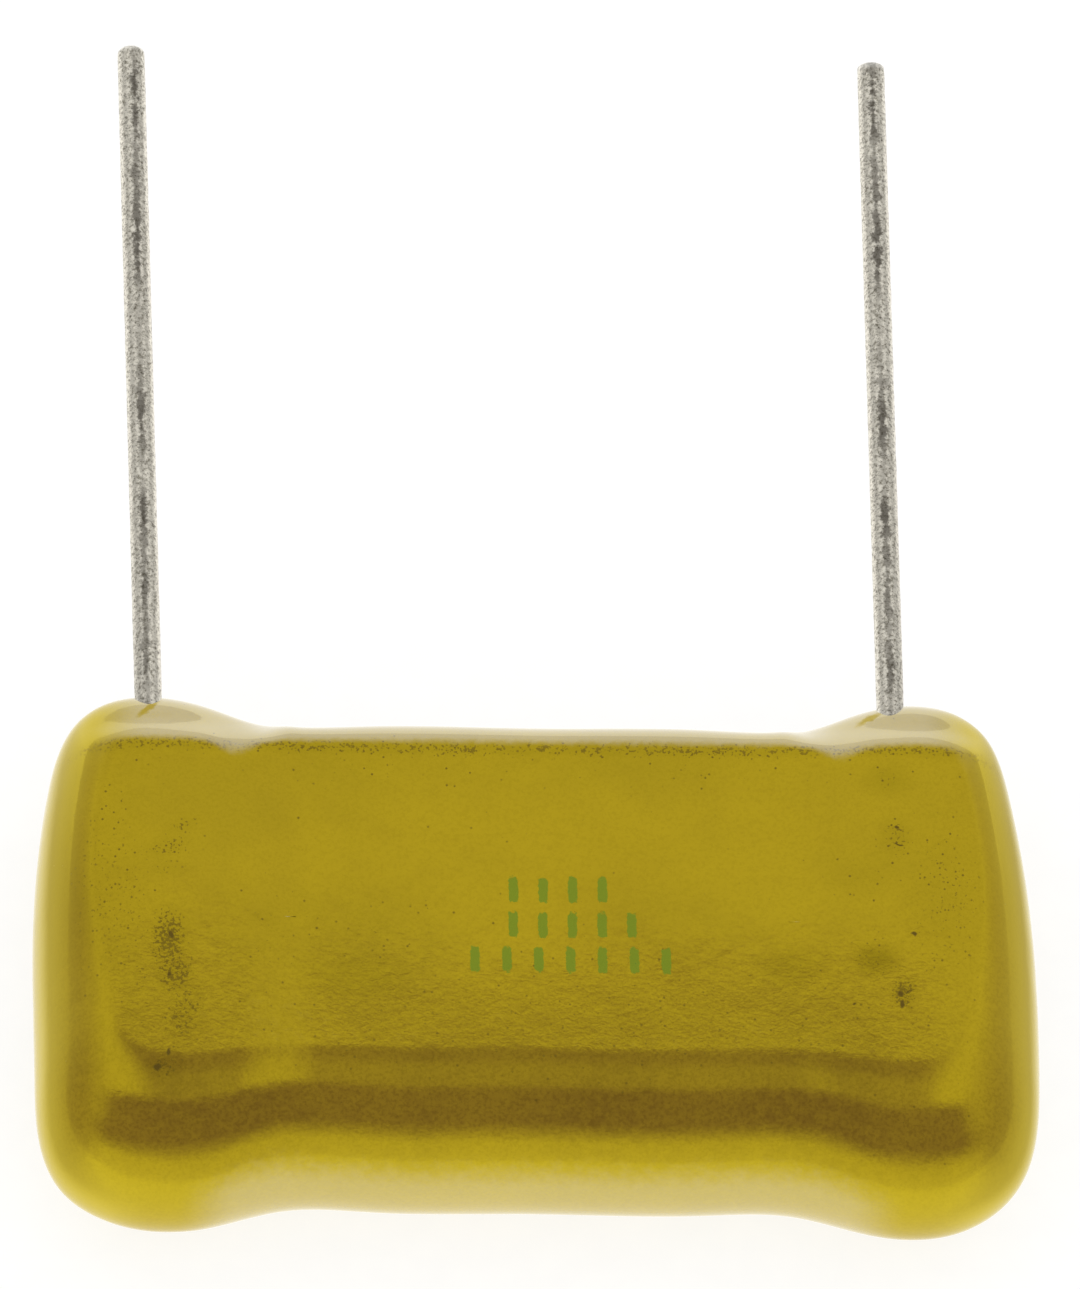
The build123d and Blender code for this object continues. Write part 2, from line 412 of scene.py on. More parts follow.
def halfOutline(fuller):
    # points of the outline at half thickness, and how far the flat face stops short of it in X and Y,
    # for the right half from the low side to the lead side
    clampX = (clampBox[0][0] + clampBox[1][0]) / 2
    endX = (coatBox[1][0] - coatBox[0][0]) / 2 - coat["bulge"][0]
    low = -coatBox[0][1] - coat["bulge"][1]
    high = coatBox[1][1] - coat["bulge"][2]
    waistX, waistY = coat["waistX"], coat["waistY"]
    lowIn, padIn = coat["lowRounding"], coat["lowPadRounding"]
    highIn, humpIn = coat["highRounding"], coat["humpRounding"]
    (lowX, lowY), (highX, highY) = coat["lowCorner"], coat["highCorner"]
    cornerInX, cornerInY = coat["highCornerRounding"]
    endInX, endInY = coat["highEndRounding"]
    lowFuller, highFuller = (fuller * share for share in coat["leftEndShares"])
    lowFrom, lowTo = coat["lowWaist"]
    return [
        (waistX * coat["waistHold"], -waistY, 0.0, lowIn),
        (lowFrom, -waistY, 0.0, lowIn),
        (lowTo, -low, 0.0, padIn),
        (clampBox[1][0], -low, lowX, padIn),
        (endX - lowX + fuller, lowY - low - fuller, *coat["lowCornerRounding"]),
        (endX + lowFuller, coat["lowEndY"], *coat["lowEndRounding"]),
        (endX - coat["endTaper"] + highFuller, coat["highEndY"], endInX, -endInY),
        (endX - highX + fuller, high - highY + fuller, cornerInX, -cornerInY),
        (clampX, high, 0.0, -humpIn),
        (waistX, waistY, 0.0, -highIn),
        (waistX * coat["waistHold"], waistY, 0.0, -highIn),
    ]


def coatOutline():
    # the whole loop, from the middle of the low side; the left half's corners are a little fuller
    left = [(-x, y, -dx, dy) for x, y, dx, dy in reversed(halfOutline(coat["leftFullness"]))]
    lowMiddle = (0.0, -coat["waistY"], 0.0, coat["lowRounding"])
    leadMiddle = (0.0, coat["waistY"], 0.0, -coat["highRounding"])
    return np.array([lowMiddle, *halfOutline(0.0), leadMiddle, *left])


def closedSpline(points, samples, start):
    # cubic spline through a closed loop of points, smooth to the second derivative; the parameter is the
    # chord length and the samples begin at the share start of the loop
    step = np.linalg.norm(np.roll(points, -1, axis=0)[:, :2] - points[:, :2], axis=1)
    count = len(points)
    matrix = np.zeros((count, count))
    here = np.arange(count)
    before, after = (here - 1) % count, (here + 1) % count
    matrix[here, before] = 1.0 / step[before]
    matrix[here, here] = 2.0 / step[before] + 2.0 / step
    matrix[here, after] = 1.0 / step
    forward = (points[after] - points) / step[:, None] ** 2
    slope = np.linalg.solve(matrix, 3.0 * (forward[before] + forward))
    knots = np.concatenate([[0.0], np.cumsum(step)])
    at = (start + np.arange(samples) / samples) % 1.0 * knots[-1]
    span = np.clip(np.searchsorted(knots, at, side="right") - 1, 0, count - 1)
    u = ((at - knots[span]) / step[span])[:, None]
    width = step[span][:, None]
    first, second = points[span], points[after[span]]
    return ((1 + 2 * u) * (1 - u) ** 2 * first + u * (1 - u) ** 2 * width * slope[span]
            + u ** 2 * (3 - 2 * u) * second - u ** 2 * (1 - u) * width * slope[after[span]])


def coatDrop(x, y):
    # how far the top face lies under its full height: low between and outside the two pads that the
    # straps raise, slightly crowned towards the low side, breaking off in a slope at the pads' lead
    # side, sooner and deeper where that slope meets the waist
    away = np.abs(x)
    padIn, waistFrom = coat["padSlopeIn"]
    padOut, endFrom = coat["padSlopeOut"]
    drop = coat["waistDrop"] * smoothStep((padIn - away) / (padIn - waistFrom))
    drop = drop + coat["endDrop"] * smoothStep((away - padOut) / (endFrom - padOut))
    drop = drop + coat["crown"] * np.maximum(coat["crownFrom"] - y, 0.0) ** 2
    (breakY, lowY, backY), (inFrom, inTo), (outFrom, outTo), deep = coat["shoulder"]
    along = smoothStep((away - inFrom) / (inTo - inFrom)) * smoothStep((outTo - away) / (outTo - outFrom))
    notchX, wide, sooner, deeper = coat["notch"]
    notch = np.exp(-((away - notchX) / wide) ** 2)
    breakY = breakY - sooner * notch
    across = smoothStep((y - breakY) / (lowY - breakY)) * smoothStep((backY - y) / (backY - lowY))
    return drop + (deep + deeper * notch) * along * across


def makeCoat():
    # rows of rings: out over the top face, round the rim, and in under the flat underside; the rim is a
    # quarter of an ellipse above half thickness and another below it
    around = coat["stepsAround"]
    outline = closedSpline(coatOutline(), around, coat["seam"])
    thickness = coatBox[1][2]
    turn = np.linspace(pi / 2, -pi / 2, coat["stepsRim"] + 1)
    inward = (1.0 - np.cos(turn))[:, None]
    rim = np.stack([
        outline[:, 0] - inward * outline[:, 2],
        outline[:, 1] + inward * outline[:, 3],
        np.repeat(thickness / 2 * (1.0 + np.sin(turn))[:, None], around, axis=1),
    ], axis=-1)
    theta = np.arange(around) / around * tau
    spine = np.stack([coat["spine"] * np.cos(theta), np.zeros(around), np.zeros(around)], axis=1)
    share = np.linspace(0.0, 1.0, coat["stepsFace"] + 1)[:-1] ** coat["faceSpacing"]
    flat = np.array([1.0, 1.0, 0.0])
    lift = np.array([0.0, 0.0, thickness])
    top = (1.0 - share)[:, None, None] * spine + share[:, None, None] * (rim[0] * flat) + lift
    share = np.linspace(1.0, 0.0, coat["stepsUnder"] + 1)[1:]
    under = (1.0 - share)[:, None, None] * spine + share[:, None, None] * (rim[-1] * flat)
    grid = np.concatenate([top, rim, under])
    grid[..., 2] *= 1.0 - coatDrop(grid[..., 0], grid[..., 1]) / thickness
    waves = [height * (ripple(grid, length, coat["waveSeed"] + number) - 1.0)
             for number, (length, height) in enumerate(coat["wave"])]
    uneven = np.minimum(0.0, sum(waves)) * smoothStep(grid[..., 2] / coat["waveFrom"])
    grid = grid + gridNormals(grid) * uneven[..., None]
    grid[..., :2] *= coat["shrink"]
    grid[..., 0] += coat["centreX"]
    for row in (grid[0], grid[-1]):        # the two halves of each spine row meet exactly
        half = around // 2
        row[half + 1:] = row[1:half][::-1]
    piece = closedMesh("coat_skin", grid, "fold", "fold")
    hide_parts("dipped_coating")
    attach(piece, "root")
    return piece


coatFinish = {
    "deep": (0.250, 0.143, 0.0175, 1.0),
    "plain": (0.320, 0.194, 0.0180, 1.0),
    "pale": (0.365, 0.230, 0.0185, 1.0),
    "stain": (0.150, 0.074, 0.0110, 1.0),
    "edge": (0.60, 0.45, 0.040, 1.0),        # painted light: the brighter colour painted on the ends' turned-away edges and on the low side's lower rim
    "dirt": (0.045, 0.026, 0.008, 1.0),
    "ink": (0.019, 0.175, 0.03, 1.0),
    "sheen": (1.0, 0.83, 0.0, 1.0),
    "dirtSheen": (0.40, 0.29, 0.03, 1.0),
    "refraction": 2.0,
    "specular": 1.0,
    "roughness": (0.05, 0.10),        # in the smoothest and the roughest patches
    "dirtRoughness": 0.3,        # more on dirt and print
    # from none at the first place to full at the second: wear by Y, what changes on the low side by Y,
    # dirt and print by height
    "worn": (2.5, -4.5),
    "lowSide": (0.0, -5.0),
    "faceFrom": (6.2, 7.0),
    # painted light on the ends' edges: from how far turned away, fully from how far, and share
    "paintedEndLightFrom": (0.12, 0.60, 0.75),
    "paintedLowRimLight": (6.9, 5.4, 0.38),        # painted light: on the low side the rim is painted brighter below the first height: to, and share
    # patterns, as patches takes them, and the shares of some on the upper and the worn lower half
    "clouds": (0.16, 4.0, 0.55, 0.35, 0.65),
    "flecks": (2.4, 5.0, 0.65, 0.36, 0.66),
    "fleckShares": (0.12, 0.5),
    "grain": (7.5, 2.0, 0.6, 0.4, 0.7),
    "grainShares": (0.30, 0.42),
    "gloss": (0.9, 4.0, 0.55, 0.3, 0.7),
    # relief: millimetres, dents per millimetre and their detail; wrinkles as noise takes them, the stretch
    # and turn of their place, and their shares on the upper and the worn lower half
    "relief": 0.006,
    "dents": (1.3, 2.0),
    "wrinkles": (3.2, 4.0, 0.6, 1.2),
    "wrinklePlace": ((1.0, 1.6, 1.0), 0.5),
    "wrinkleShares": (0.10, 0.8),
    # the outer skin, which only shows where the surface turns away: its refraction and roughness, and how
    # far turned away it begins and is full
    "glaze": 2.65,
    "glazeRoughness": 0.08,
    "glazeFrom": (0.18, 0.42),
    "glazeLow": (0.06, 0.5),        # on the low side it shows that much sooner, and at this share
    "glazeEnds": (14.0, 16.3),        # and it ends between these distances from the middle
    "glazeLowEnds": 3.0,        # sooner by this much on the low side
    "glazeBorder": (2.6, 4.0, 0.6, 0.3, 0.7),
    "glazeRagged": 0.05,        # how much that pattern moves its border
    # spots are ellipses on the top face: X, Y, half length and half width in millimetres, turn in degrees,
    # strength. They fade in between two distances from the middle, where 1 is the edge
    "spotHeight": (8.2, 2.5),        # of their middles, and half their own
    "spotRagged": (2.2, 3.0, 0.35),        # their edges: wobbles per millimetre, detail, and how far they go
    # streaks by the wires' roots that have little glaze: a painted reflection of the wires in the skin
    "streaks": {"fade": (1.2, 0.5), "at": [
        (-13.6, 9.05, 0.70, 0.17, 47, 0.9), (12.7, 9.05, 0.68, 0.17, 42, 0.9)]},
    "stains": {"fade": (1.3, 0.2), "at": [
        (12.6, -1.6, 0.9, 0.7, 0, 0.9), (9.6, -1.9, 1.5, 1.0, 0, 0.45), (-6.4, -2.5, 2.2, 1.0, 0, 0.4),
        (13.2, 5.9, 1.1, 0.8, 0, 0.4)]},
    "dirtClouds": {"fade": (1.5, 0.1), "at": [
        (-13.1, -1.0, 0.8, 1.5, 0, 1.0), (-12.9, -2.5, 0.7, 1.0, 0, 0.95), (-12.6, -4.1, 0.7, 1.3, -10, 0.8),
        (-13.4, -6.3, 0.8, 0.5, 20, 0.7), (-12.5, 3.7, 0.7, 0.4, 30, 0.6), (-13.1, 2.8, 1.1, 0.5, 20, 0.6),
        (-13.2, 1.9, 1.0, 0.35, 0, 0.4), (-9.6, -0.1, 0.7, 0.3, 0, 0.45), (-15.2, 1.0, 1.9, 5.0, 10, 0.40),
        (13.5, 3.5, 0.7, 0.9, 0, 0.6), (13.2, 5.9, 0.4, 0.5, 0, 0.4), (12.4, 2.0, 1.6, 1.0, 10, 0.3),
        (13.6, -2.9, 0.5, 0.7, 0, 1.0), (12.6, -1.6, 1.2, 1.0, 0, 0.4), (15.2, 1.0, 1.7, 3.4, 0, 0.42),
        (2.0, -4.4, 14.0, 2.4, 0, 0.22), (-7.5, -1.0, 4.5, 2.2, 0, 0.18), (0.0, 6.6, 18.0, 1.2, 0, 0.14)]},
    "dirtMarks": {"fade": (1.15, 0.55), "at": [
        (-13.0, -0.9, 0.10, 0.24, 0, 1.0), (-13.1, -2.5, 0.18, 0.08, 60, 1.0),
        (-13.6, -6.3, 0.20, 0.14, 0, 1.0), (-13.2, -5.7, 0.08, 0.18, -20, 1.0),
        (13.5, 3.9, 0.09, 0.10, 0, 1.0), (13.5, 3.2, 0.20, 0.05, -20, 1.0),
        (14.0, -0.5, 0.10, 0.10, 0, 1.0), (13.4, -3.0, 0.16, 0.14, 40, 1.0),
        (13.5, -3.4, 0.10, 0.18, 0, 1.0), (13.8, -2.9, 0.26, 0.03, 25, 1.0),
        (11.8, -3.4, 0.06, 0.05, 0, 1.0)]},
    # the line of grime along the lead side's edge of the face: Y, half width and density
    "edgeLine": (7.12, 0.50, 0.75),
    "leastDirt": 0.015,
    # dots of dirt: cells per millimetre, share that has one at full density, size in its cell, its edge
    "dots": (7.0, 0.6, (0.12, 0.36), (1.1, 0.6)),
    # grit: how fine it is as noise takes it, the values between which it shows, how far dense dirt lowers
    # them, and its share
    "grit": ((8.0, 2.0, 0.6), (0.74, 0.80), 0.30, 0.8),
    "dirtShares": (0.8, 0.85, 0.55),        # of dots and grit beside marks, of all dirt, and of its smudges
    # rows of plain stamped bars: count, pitch, and the row's middle in X and Y
    "bars": [(4, 1.08, 1.1, 1.25), (5, 1.08, 1.6, -0.20), (7, 1.16, 1.5, -1.65)],
    "barSize": (0.17, 0.52),        # half width and half height
    "barSquare": 5.0,        # 2 makes them ellipses, more squares their corners
    "barEdge": (1.08, 0.92),
    "barBroken": ((6.0, 3.0, 0.55, 0.3, 0.7), 0.12),        # pattern of the broken edges, and how far they go
    "barShare": 0.93,
}


def raggedPlace(tree, here):
    # the place pushed about in X and Y, which makes the edge of what is drawn there uneven
    scale, detail, reach = coatFinish["spotRagged"]
    loose = add(tree, "TexNoise", {"Vector": here, "Scale": scale, "Detail": detail}).outputs["Color"]
    pushed = add(tree, "VectorMath", {0: loose, 1: (0.5, 0.5, 0.5)}, operation="SUBTRACT").outputs[0]
    shove = add(tree, "VectorMath", {0: pushed, 1: (reach, reach, 0.0)}, operation="MULTIPLY").outputs[0]
    return add(tree, "VectorMath", {0: here, 1: shove}, operation="ADD").outputs[0]


def spots(tree, vector, kind):
    # the strongest at each place of all spots of one kind
    height, deep = coatFinish["spotHeight"]
    shown = []
    for x, y, long, wide, turn, strength in coatFinish[kind]["at"]:
        values = {
            "Vector": vector,
            "Location": (x, y, height),
            "Rotation": (0.0, 0.0, radians(turn)),
            "Scale": (long, wide, deep),
        }
        spread = add(tree, "Mapping", values, vector_type="TEXTURE").outputs[0]
        distance = add(tree, "VectorMath", {0: spread}, operation="LENGTH").outputs["Value"]
        shown.append(times(tree, ease(tree, distance, *coatFinish[kind]["fade"]), strength))
    return greatest(tree, shown)


def resinColour(tree, here, worn):
    # the lower half of the face is more mottled than the upper half
    cloud = patches(tree, here, coatFinish["clouds"])
    fleck = patches(tree, here, coatFinish["flecks"])
    colour = tint(tree, cloud, coatFinish["plain"], coatFinish["deep"])
    mottle = times(tree, fleck, ease(tree, worn, 0.0, 1.0, *coatFinish["fleckShares"]))
    colour = tint(tree, mottle, colour, coatFinish["pale"])
    grain = patches(tree, here, coatFinish["grain"])
    grained = times(tree, grain, ease(tree, worn, 0.0, 1.0, *coatFinish["grainShares"]))
    return tint(tree, grained, colour, coatFinish["stain"])


def dirtDensity(tree, ragged):
    # clouds of dirt, and the line of grime along the lead side
    density = spots(tree, ragged, "dirtClouds")
    edgeY, edgeWidth, edgeDensity = coatFinish["edgeLine"]
    fromEdge = apart(tree, add(tree, "SeparateXYZ", {0: ragged}).outputs["Y"], edgeY)
    grime = times(tree, ease(tree, fromEdge, edgeWidth, 0.0), edgeDensity)
    return greatest(tree, [density, grime, coatFinish["leastDirt"]])


def fineDirt(tree, here, density):
    # one dot at most in each cell, chosen and sized by the cell's random colour, and grit between them
    scale, share, sizes, edge = coatFinish["dots"]
    cell = add(tree, "TexVoronoi", {"Vector": here, "Scale": scale})
    lot = add(tree, "SeparateColor", {0: cell.outputs["Color"]})
    chosen = calc(tree, "LESS_THAN", lot.outputs[0], times(tree, density, share))
    size = ease(tree, lot.outputs[1], 0.0, 1.0, *sizes)
    distance = calc(tree, "DIVIDE", cell.outputs["Distance"], size)
    dots = times(tree, ease(tree, distance, *edge), chosen)
    fineness, shows, lowers, share = coatFinish["grit"]
    fine = noise(tree, here, *fineness)
    grit = ease(tree, plus(tree, fine, times(tree, density, lowers)), *shows)
    return calc(tree, "MAXIMUM", dots, times(tree, grit, share))


def stampedBars(tree, here, split):
    # upright bars with rounded corners and slightly broken edges
    pattern, reach = coatFinish["barBroken"]
    broken = patches(tree, here, pattern, -reach, reach)
    halfWidth, halfHeight = coatFinish["barSize"]
    square = coatFinish["barSquare"]
    stamped = []
    for count, pitch, rowX, rowY in coatFinish["bars"]:
        column = calc(tree, "DIVIDE", minus(tree, split.outputs["X"], rowX - pitch * count / 2), pitch)
        inRow = times(tree, calc(tree, "GREATER_THAN", column, 0.0), calc(tree, "LESS_THAN", column, count))
        offX = times(tree, apart(tree, calc(tree, "FRACT", column), 0.5), pitch / halfWidth)
        offY = calc(tree, "DIVIDE", apart(tree, split.outputs["Y"], rowY), halfHeight)
        powers = plus(tree, calc(tree, "POWER", offX, square), calc(tree, "POWER", offY, square))
        rounded = calc(tree, "POWER", powers, 1.0 / square)
        rough = plus(tree, rounded, broken)
        stamped.append(times(tree, ease(tree, rough, *coatFinish["barEdge"]), inRow))
    return greatest(tree, stamped)


def glazeWeight(tree, here, ragged, turned, low, outwards):
    # the glaze has a ragged border, ends before the coat's ends and leaves out most of the streaks
    sooner, share = coatFinish["glazeLow"]
    reach = coatFinish["glazeRagged"] / 2
    shown = plus(tree, turned, times(tree, low, sooner))
    shown = plus(tree, shown, patches(tree, here, coatFinish["glazeBorder"], -reach, reach))
    glaze = times(tree, ease(tree, shown, *coatFinish["glazeFrom"]), ease(tree, low, 0.0, 1.0, 1.0, share))
    glaze = times(tree, glaze, minus(tree, 1.0, spots(tree, ragged, "streaks")))
    lowOutwards = plus(tree, outwards, times(tree, low, coatFinish["glazeLowEnds"]))
    return times(tree, glaze, ease(tree, lowOutwards, *coatFinish["glazeEnds"], 1.0, 0.0))


def coatMaterial():
    made, tree, shader = newMaterial("dippedResin")
    here = place(tree)
    ragged = raggedPlace(tree, here)
    split = add(tree, "SeparateXYZ", {0: here})
    worn = ease(tree, split.outputs["Y"], *coatFinish["worn"])
    colour = resinColour(tree, here, worn)
    colour = tint(tree, spots(tree, ragged, "stains"), colour, coatFinish["stain"])

    besideMarks, dirty, smudged = coatFinish["dirtShares"]
    density = dirtDensity(tree, ragged)
    fine = times(tree, fineDirt(tree, here, density), besideMarks)
    above = ease(tree, split.outputs["Z"], *coatFinish["faceFrom"])
    dirt = times(tree, calc(tree, "MAXIMUM", spots(tree, ragged, "dirtMarks"), fine), above)
    smudge = times(tree, times(tree, density, smudged), above)
    colour = tint(tree, smudge, colour, coatFinish["stain"])
    colour = tint(tree, times(tree, dirt, dirty), colour, coatFinish["dirt"])
    inked = times(tree, stampedBars(tree, here, split), above)
    colour = tint(tree, times(tree, inked, coatFinish["barShare"]), colour, coatFinish["ink"])

    # painted light: the edges of the ends are painted brighter by how far they turn away, and the low side's
    # rim is painted brighter below a height
    turned = add(tree, "LayerWeight", {"Blend": 0.5}).outputs["Facing"]
    low = ease(tree, split.outputs["Y"], *coatFinish["lowSide"])
    outwards = apart(tree, split.outputs["X"], coat["centreX"])
    start, full, most = coatFinish["paintedEndLightFrom"]
    atEnds = ease(tree, outwards, *coatFinish["glazeEnds"])
    # painted highlight on the ends' edges, by how far the surface turns away
    lit = times(tree, ease(tree, turned, start, full, 0.0, most), atEnds)
    colour = tint(tree, lit, colour, coatFinish["edge"])
    # painted light on the low side's lower rim, standing in for light from the floor
    paleFrom, paleTo, most = coatFinish["paintedLowRimLight"]
    paler = times(tree, ease(tree, split.outputs["Z"], paleFrom, paleTo, 0.0, most), low)
    colour = tint(tree, paler, colour, coatFinish["edge"])
    tree.links.new(colour, shader.inputs["Base Color"])

    rough = patches(tree, here, coatFinish["gloss"], *coatFinish["roughness"])
    covered = times(tree, calc(tree, "MAXIMUM", dirt, inked), coatFinish["dirtRoughness"])
    tree.links.new(plus(tree, rough, covered), shader.inputs["Roughness"])
    shader.inputs["IOR"].default_value = coatFinish["refraction"]
    shader.inputs["Specular IOR Level"].default_value = coatFinish["specular"]
    sheen = tint(tree, dirt, coatFinish["sheen"], coatFinish["dirtSheen"])
    tree.links.new(sheen, shader.inputs["Specular Tint"])
    tree.links.new(glazeWeight(tree, here, ragged, turned, low, outwards), shader.inputs["Coat Weight"])
    shader.inputs["Coat IOR"].default_value = coatFinish["glaze"]
    shader.inputs["Coat Roughness"].default_value = coatFinish["glazeRoughness"]

    wrinkle = noise(tree, place(tree, *coatFinish["wrinklePlace"]), *coatFinish["wrinkles"])
    wrinkle = times(tree, wrinkle, ease(tree, worn, 0.0, 1.0, *coatFinish["wrinkleShares"]))
    height = plus(tree, noise(tree, here, *coatFinish["dents"]), wrinkle)
    tree.links.new(bump(tree, height, coatFinish["relief"]), shader.inputs["Normal"])
    return made


coatSkin = makeCoat()
paint(coatSkin, coatMaterial())
print("coat made:", len(coatSkin.data.polygons), "faces")


lead = {
    "around": 48,
    "step": 0.12,        # between the rings of the round wire
    "taper": (7.25, 8.75, 10.39),        # along Y: the paddle's end, and the neck's beginning and end
    "neckLoss": 0.02,
    "paddleThickness": 0.55,
    "paddleSpread": 1.6,        # over 1 more of a paddle ring's points lie in its round edges
    "tipSteps": 8,
    "grain": ((0.50, 0.005), (0.17, 0.004)),        # wavelength and height of the tin's unevenness
    "grainStretch": 0.45,        # its waves along the wire, by the share of their number
    "grainSeed": 31,
    "grainDeepest": 0.03,
    # how far each wire stands aside of its place at the root and at the tip, and the rounding of its tip
    "wires": {"left_lead": (-0.08, -0.22, 0.22), "right_lead": (0.0, 0.0, 0.08)},
}


def makeLead(name):
    # a profile carried along the wire: a flat slot up to the paddle's end, then a circle, which its last
    # rings draw in round the tip
    low, high = [np.array(corner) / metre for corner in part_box(name)]
    middleX, middleZ = (low[0] + high[0]) / 2, (low[2] + high[2]) / 2
    radius = (high[2] - low[2]) / 2
    flat = lead["paddleThickness"] / 2
    paddleTo, neckFrom, neckTo = lead["taper"]
    asideRoot, asideTip, rounding = lead["wires"][name]
    count = int((high[1] - rounding - paddleTo) / lead["step"])
    turn = np.linspace(0.0, pi / 2, lead["tipSteps"])[1:]
    y = np.concatenate([[low[1], low[1]], np.linspace(paddleTo, high[1] - rounding, count),
                        high[1] - rounding * (1.0 - np.sin(turn)), [high[1]]])
    drawnIn = np.zeros(len(y))
    drawnIn[-len(turn) - 1:-1] = rounding * (1.0 - np.cos(turn))
    neck = 1.0 - np.clip((y - neckFrom) / (neckTo - neckFrom), 0.0, 1.0)
    gauge = (radius - drawnIn - lead["neckLoss"] * neck)[:, None]
    angle = np.arange(lead["around"]) / lead["around"] * tau
    spread = np.clip(lead["paddleSpread"] * np.cos(angle), -1.0, 1.0)
    slotX = ((high[0] - low[0]) / 2 - flat) * spread + flat * np.cos(angle)
    slotZ = flat - radius + flat * np.sin(angle)
    roundness = np.clip((y - paddleTo) / (neckFrom - paddleTo), 0.0, 1.0)[:, None]
    x = (1.0 - roundness) * slotX + roundness * gauge * np.cos(angle)
    z = (1.0 - roundness) * slotZ + roundness * gauge * np.sin(angle)
    ends = np.ones((len(y), 1))
    ends[[0, -1]] = 0.0        # each end closes in one point
    grid = np.stack([x * ends, np.repeat(y[:, None], lead["around"], axis=1), z * ends], axis=-1)
    waved = grid * (1.0, lead["grainStretch"], 1.0) + middleX
    waves = [height * (ripple(waved, length, lead["grainSeed"] + number) - 1.0)
             for number, (length, height) in enumerate(lead["grain"])]
    uneven = np.clip(sum(waves), -lead["grainDeepest"], 0.0)
    grid[..., ::2] *= 1.0 + (uneven / radius)[..., None]
    along = np.clip((y - neckTo) / (high[1] - neckTo), 0.0, 1.0)
    grid[..., 0] += middleX + (roundness[:, 0] * asideRoot + (asideTip - asideRoot) * along)[:, None]
    grid[..., 2] += middleZ
    piece = closedMesh(name.replace("_", "_wire_"), grid, "point", "point")
    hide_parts(name)
    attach(piece, "root")
    piece.visible_glossy = False        # the skin's own streaks stand for the wires' reflection in it
    return piece


wireFinish = {
    "tin": (0.80, 0.76, 0.66, 1.0),
    "dull": (0.22, 0.20, 0.15, 1.0),
    # soot for the specks, and the painted dark reflection along the wires' tops
    "sootAndDarkReflection": (0.06, 0.05, 0.038, 1.0),
    # painted highlight on the wires' tips
    "cut": (0.97, 0.96, 0.93, 1.0),
    "grain": (8.0, 4.0, 0.7),        # as noise takes it
    "dullFrom": (0.42, 0.72),        # the values of the grain between which it dulls the tin
    "roughness": ((0.3, 0.75), (0.30, 0.5)),        # between two values of the grain, and what it is there
    "specks": (10.0, 3.0, 0.7, 0.58, 0.66),        # of soot, as patches takes them
    "speckShare": 0.7,
    "relief": 0.012,        # millimetres
    # lines along the wire: the stretch of their place, the noise, and their share of the relief
    "drawn": ((6.0, 0.5, 6.0), (1.4, 4.0, 0.6), 0.5),
    "centre": (13.5, 13.65),        # the wires' distance from the middle, right and left
    # a painted dark reflection along the top: from so far off the centre to full, and share; where it is by
    # height
    "darkReflectionStreak": (0.20, 0.04, 0.80),
    "streakFrom": (6.9, 7.2),
    "streakEdge": ((2.6, 5.0, 0.7, 0.3, 0.7), 0.12),        # pattern of its ragged edge, and how far it goes
    "streakComes": ((0.22, 2.0, 0.55, 0.35, 0.6), 0.35),        # pattern along the wire, and its least share
    # Y of the right and the left tip, how far back the painted highlight reaches, and share
    "tips": (36.79, 37.19, 0.32, 0.35),
}


def wireMaterial():
    made, tree, shader = newMaterial("tinnedWire")
    here = place(tree)
    split = add(tree, "SeparateXYZ", {0: here})
    grain = noise(tree, here, *wireFinish["grain"])
    colour = tint(tree, ease(tree, grain, *wireFinish["dullFrom"]), wireFinish["tin"], wireFinish["dull"])
    specks = times(tree, patches(tree, here, wireFinish["specks"]), wireFinish["speckShare"])
    colour = tint(tree, specks, colour, wireFinish["sootAndDarkReflection"])

    # the painted dark reflection comes and goes along the wire, with ragged edges
    right, left = wireFinish["centre"]
    fromX, toX, share = wireFinish["darkReflectionStreak"]
    edge, reach = wireFinish["streakEdge"]
    along, least = wireFinish["streakComes"]
    centre = ease(tree, split.outputs["X"], -1.0, 1.0, left, right)
    off = apart(tree, calc(tree, "ABSOLUTE", split.outputs["X"]), centre)
    off = plus(tree, off, patches(tree, here, edge, -reach, reach))
    above = ease(tree, split.outputs["Z"], *wireFinish["streakFrom"])
    darkReflectionStreak = times(tree, ease(tree, off, fromX, toX, 0.0, share), above)
    comes = patches(tree, place(tree, (0.0, 1.0, 0.0)), along, least, 1.0)
    colour = tint(tree, times(tree, darkReflectionStreak, comes), colour, wireFinish["sootAndDarkReflection"])

    # painted highlight: the tips are painted near white where their highlights bleach
    rightTip, leftTip, reach, share = wireFinish["tips"]
    tip = ease(tree, split.outputs["X"], -1.0, 1.0, leftTip, rightTip)
    bright = ease(tree, minus(tree, tip, split.outputs["Y"]), reach, reach / 4, 0.0, share)
    colour = tint(tree, bright, colour, wireFinish["cut"])
    tree.links.new(colour, shader.inputs["Base Color"])

    shader.inputs["Metallic"].default_value = 1.0
    values, roughness = wireFinish["roughness"]
    tree.links.new(ease(tree, grain, *values, *roughness), shader.inputs["Roughness"])
    stretch, pattern, share = wireFinish["drawn"]
    height = plus(tree, grain, times(tree, noise(tree, place(tree, stretch), *pattern), share))
    tree.links.new(bump(tree, height, wireFinish["relief"]), shader.inputs["Normal"])
    return made


tinned = wireMaterial()
for side in lead["wires"]:
    paint(makeLead(side), tinned)
print("leads made")


mica = {
    # colours where a sheet is clear and where it is brown
    "bladeMica": ((0.52, 0.45, 0.33, 1.0), (0.40, 0.31, 0.19, 1.0)),
    "coverMica": ((0.46, 0.38, 0.26, 1.0), (0.33, 0.24, 0.14, 1.0)),
    "brown": ((0.35, 4.0, 0.6, 0.6), (0.3, 0.7)),        # a noise, and its values from clear to brown
    "cleaved": (0.80, 0.76, 0.66, 1.0),
    "cleavage": (0.9, 5.0, 0.55, 0.45, 0.62),        # as patches takes it
    "cleavagePlace": ((0.4, 4.0, 1.0), 0.5),        # stretch and turn
    "cleavageShare": 0.35,
    "roughness": (0.12, 0.3),        # beside and on the cleavage lines
    "refraction": 1.58,
    "coat": 0.4,
    "relief": 0.008,        # millimetres
}

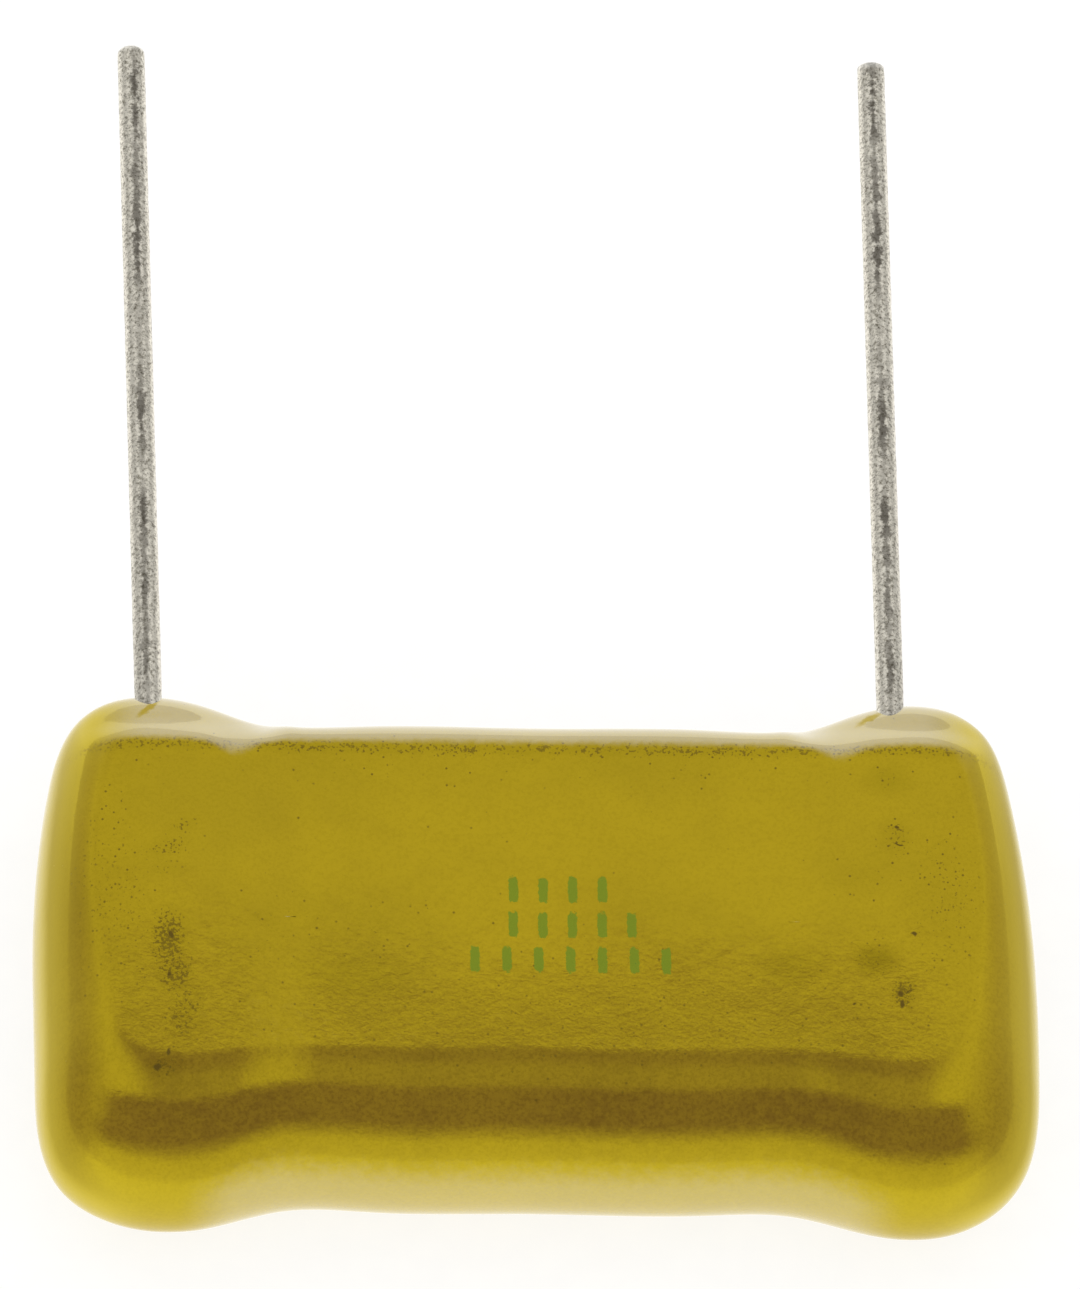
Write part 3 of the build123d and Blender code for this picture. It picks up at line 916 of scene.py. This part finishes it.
metal = {
    "patches": (0.5, 5.0, 0.6, 0.35, 0.7),        # dull ones, as patches takes them
    "lines": (2.0, 4.0, 0.6),        # as noise takes them
    "lineValues": (0.3, 0.7),        # the noise's values between which the roughness changes
    # colour where bright and where dull, roughness, the stretch that draws out the lines, and relief in
    # millimetres
    "leadTinFoil": ((0.70, 0.70, 0.71, 1.0), (0.50, 0.50, 0.51, 1.0), (0.25, 0.42), (0.4, 5.0, 5.0), 0.006),
    "clampStrap": ((0.62, 0.47, 0.22, 1.0), (0.42, 0.31, 0.15, 1.0), (0.28, 0.45), (5.0, 0.5, 5.0), 0.005),
}


def micaMaterial(name):
    # flat sheets with brown clouds and pale cleavage lines
    made, tree, shader = newMaterial(name)
    clear, brown = mica[name]
    pattern, values = mica["brown"]
    cloud = ease(tree, noise(tree, place(tree), *pattern), *values)
    cleave = patches(tree, place(tree, *mica["cleavagePlace"]), mica["cleavage"])
    colour = tint(tree, cloud, clear, brown)
    colour = tint(tree, times(tree, cleave, mica["cleavageShare"]), colour, mica["cleaved"])
    tree.links.new(colour, shader.inputs["Base Color"])
    tree.links.new(ease(tree, cleave, 0.0, 1.0, *mica["roughness"]), shader.inputs["Roughness"])
    shader.inputs["IOR"].default_value = mica["refraction"]
    shader.inputs["Coat Weight"].default_value = mica["coat"]
    tree.links.new(bump(tree, cleave, mica["relief"]), shader.inputs["Normal"])
    return made


def metalMaterial(name):
    # rolled strip: fine lines along it and dull patches
    made, tree, shader = newMaterial(name)
    bright, dull, roughness, stretch, relief = metal[name]
    patch = patches(tree, place(tree), metal["patches"])
    rolled = noise(tree, place(tree, stretch), *metal["lines"])
    tree.links.new(tint(tree, patch, bright, dull), shader.inputs["Base Color"])
    shader.inputs["Metallic"].default_value = 1.0
    tree.links.new(ease(tree, rolled, *metal["lineValues"], *roughness), shader.inputs["Roughness"])
    tree.links.new(bump(tree, rolled, relief), shader.inputs["Normal"])
    return made


bladeMica = micaMaterial("bladeMica")
coverMica = micaMaterial("coverMica")
foilMetal = metalMaterial("leadTinFoil")
strapMetal = metalMaterial("clampStrap")
inside = {"mica_blade": bladeMica, "cover_mica": coverMica, "foil": foilMetal, "left_clamp": strapMetal,
          "right_clamp": strapMetal}
for name, node in nodes.items():
    for start, made in inside.items():
        if name.startswith(start):
            paint(node, made)
print("inside pieces finished")
